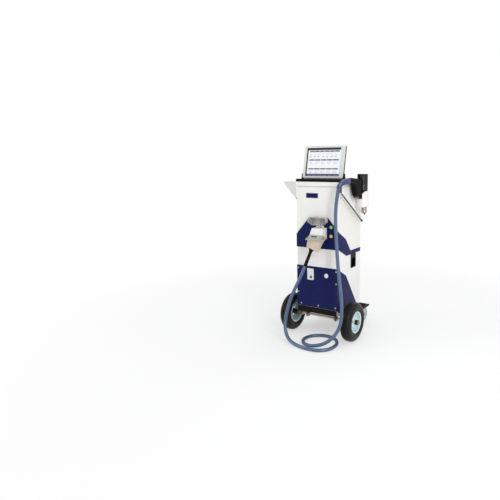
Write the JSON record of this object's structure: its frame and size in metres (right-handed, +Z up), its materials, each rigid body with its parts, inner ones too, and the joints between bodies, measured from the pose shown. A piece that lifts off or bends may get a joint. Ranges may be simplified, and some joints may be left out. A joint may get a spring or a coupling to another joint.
{
  "type": "mobile spark emission spectrometer",
  "caption": "Wheeled sheet-metal column with a tilting display, plug-in connector, floor hose and a pistol-grip spark probe in a side holder, for sorting and analysing metals on site.",
  "frame": {"origin": "on the floor, under the middle of the object's bounding box with the free hose left out", "axes": "+X to the right seen from the front, +Y to the back, +Z up"},
  "size_m": [0.5586, 0.7511, 1.2679],
  "materials": {
    "shell_paint": "satin light grey powder coat",
    "navy_paint": "satin navy powder coat",
    "black_paint": "fine-texture black powder coat",
    "zinc": "bright zinc",
    "yellow_zinc": "yellow zinc",
    "tyre": "matt, worn dust",
    "rim_paint": "light blue-grey enamel",
    "hub_plastic": "dark",
    "caster_core": "grey",
    "caster_tread": "dark grey",
    "black_plastic": "fine grain",
    "gloss_black": "gloss",
    "dark_body": "dark blue-grey",
    "white_plastic": "smooth",
    "grey_plastic": "smooth",
    "beige_plastic": "smooth",
    "clear_cover": "smoked clear plastic",
    "green_plastic": "gloss",
    "amber_plastic": "gloss",
    "hose_rubber": "steel-blue corrugated sleeve",
    "boot_rubber": "blue, satin",
    "nozzle_metal": "machined",
    "electrode_metal": "dark tip",
    "display_silver": "silver paint",
    "screen": "screen",
    "castings": "cast",
    "rubber_black": "matt"
  },
  "bodies": {
    "column": {"column_shell": "shell_paint", "rear_panel": "shell_paint", "base_chassis": "black_paint", "rear_outrigger": "black_paint", "axle_brackets": "yellow_zinc", "axle": "zinc", "axle_fittings": "zinc", "caster_plates": "zinc", "lower_cover": "navy_paint", "cover_screws": "zinc", "mid_band": "navy_paint", "button_bodies": "black_plastic", "service_panel": "black_plastic", "port_cap": "white_plastic", "side_handles": "black_plastic", "top_shelf": "shell_paint", "wing_gussets": "shell_paint", "side_bracket": "shell_paint", "bracket_edging": "rubber_black", "probe_holder": "white_plastic", "probe_cap": "gloss_black", "probe_body": "dark_body", "probe_head": "dark_body", "probe_nozzle": "nozzle_metal", "electrode": "electrode_metal", "probe_grip": "black_plastic", "hose": "hose_rubber", "hose_boot": "boot_rubber", "dock_socket": "white_plastic", "plug_collar": "grey_plastic", "plug_body": "beige_plastic", "strain_relief": "rubber_black", "display_base": "black_plastic", "inner_frame": "zinc", "optic_chamber": "castings", "spark_source": "castings", "power_supply": "castings", "fan_frame": "black_plastic"},
    "wheel_right": {"tyre_right": "tyre", "rim_right": "rim_paint", "hub_right": "hub_plastic"},
    "wheel_left": {"tyre_left": "tyre", "rim_left": "rim_paint", "hub_left": "hub_plastic"},
    "caster_right": {"caster_fork_right": "zinc"},
    "caster_left": {"caster_fork_left": "zinc"},
    "caster_wheel_right": {"caster_core_right": "caster_core", "caster_tread_right": "caster_tread"},
    "caster_wheel_left": {"caster_core_left": "caster_core", "caster_tread_left": "caster_tread"},
    "green_button": {"green_button": "green_plastic"},
    "amber_button": {"amber_button": "amber_plastic"},
    "service_flap": {"service_flap": "white_plastic"},
    "flap_latch": {"flap_latch": "black_plastic"},
    "probe_trigger": {"probe_trigger": "gloss_black"},
    "dock_cover": {"dock_cover": "clear_cover"},
    "plug_lever": {"plug_lever": "grey_plastic"},
    "display": {"display_housing": "display_silver", "display_screen": "screen"},
    "fan_rotor": {"fan_rotor": "black_plastic"}
  },
  "joints": [
    {"name": "wheel_right_turn", "type": "hinge", "parent": "column", "child": "wheel_right", "pos_m": [0.231, -0.14096, 0.13], "axis": [1, 0, 0], "continuous": true},
    {"name": "wheel_left_turn", "type": "hinge", "parent": "column", "child": "wheel_left", "pos_m": [-0.231, -0.14096, 0.13], "axis": [1, 0, 0], "continuous": true},
    {"name": "caster_right_swivel", "type": "hinge", "parent": "column", "child": "caster_right", "pos_m": [0.132, 0.23704, 0.11], "axis": [0, 0, 1], "continuous": true},
    {"name": "caster_left_swivel", "type": "hinge", "parent": "column", "child": "caster_left", "pos_m": [-0.132, 0.23704, 0.11], "axis": [0, 0, 1], "continuous": true},
    {"name": "caster_wheel_right_turn", "type": "hinge", "parent": "caster_right", "child": "caster_wheel_right", "pos_m": [0.132, 0.26504, 0.045], "axis": [1, 0, 0], "continuous": true},
    {"name": "caster_wheel_left_turn", "type": "hinge", "parent": "caster_left", "child": "caster_wheel_left", "pos_m": [-0.132, 0.26504, 0.045], "axis": [1, 0, 0], "continuous": true},
    {"name": "green_button_press", "type": "slide", "parent": "column", "child": "green_button", "axis": [0, 1, 0], "range_m": [0, 0.004], "stiffness_N_per_m": 400, "springref_m": -0.003},
    {"name": "amber_button_press", "type": "slide", "parent": "column", "child": "amber_button", "axis": [0, 1, 0], "range_m": [0, 0.004], "stiffness_N_per_m": 400, "springref_m": -0.003},
    {"name": "service_flap_swing", "type": "hinge", "parent": "column", "child": "service_flap", "pos_m": [-0.0685, -0.21176, 0.4355], "axis": [0, 0, -1], "range_deg": [0, 110]},
    {"name": "flap_latch_turn", "type": "hinge", "parent": "service_flap", "child": "flap_latch", "pos_m": [-0.041, -0.21176, 0.418], "axis": [0, -1, 0], "range_deg": [0, 90]},
    {"name": "trigger_pull", "type": "slide", "parent": "column", "child": "probe_trigger", "axis": [0, 0, 1], "range_m": [0, 0.006], "stiffness_N_per_m": 500, "springref_m": -0.003},
    {"name": "dock_cover_swing", "type": "hinge", "parent": "column", "child": "dock_cover", "pos_m": [0.028, -0.21596, 0.758], "axis": [1, 0, 0], "range_deg": [0, 30]},
    {"name": "plug_lever_swing", "type": "hinge", "parent": "column", "child": "plug_lever", "pos_m": [0.033, -0.25913, 0.69117], "axis": [-1, 0, 0], "range_deg": [0, 55]},
    {"name": "display_tilt", "type": "hinge", "parent": "column", "child": "display", "pos_m": [0, -0.12296, 1.0846], "axis": [1, 0, 0], "range_deg": [-30, 10]},
    {"name": "fan_spin", "type": "hinge", "parent": "column", "child": "fan_rotor", "pos_m": [0, 0.12784, 0.905], "axis": [0, 1, 0], "continuous": true}
  ]
}
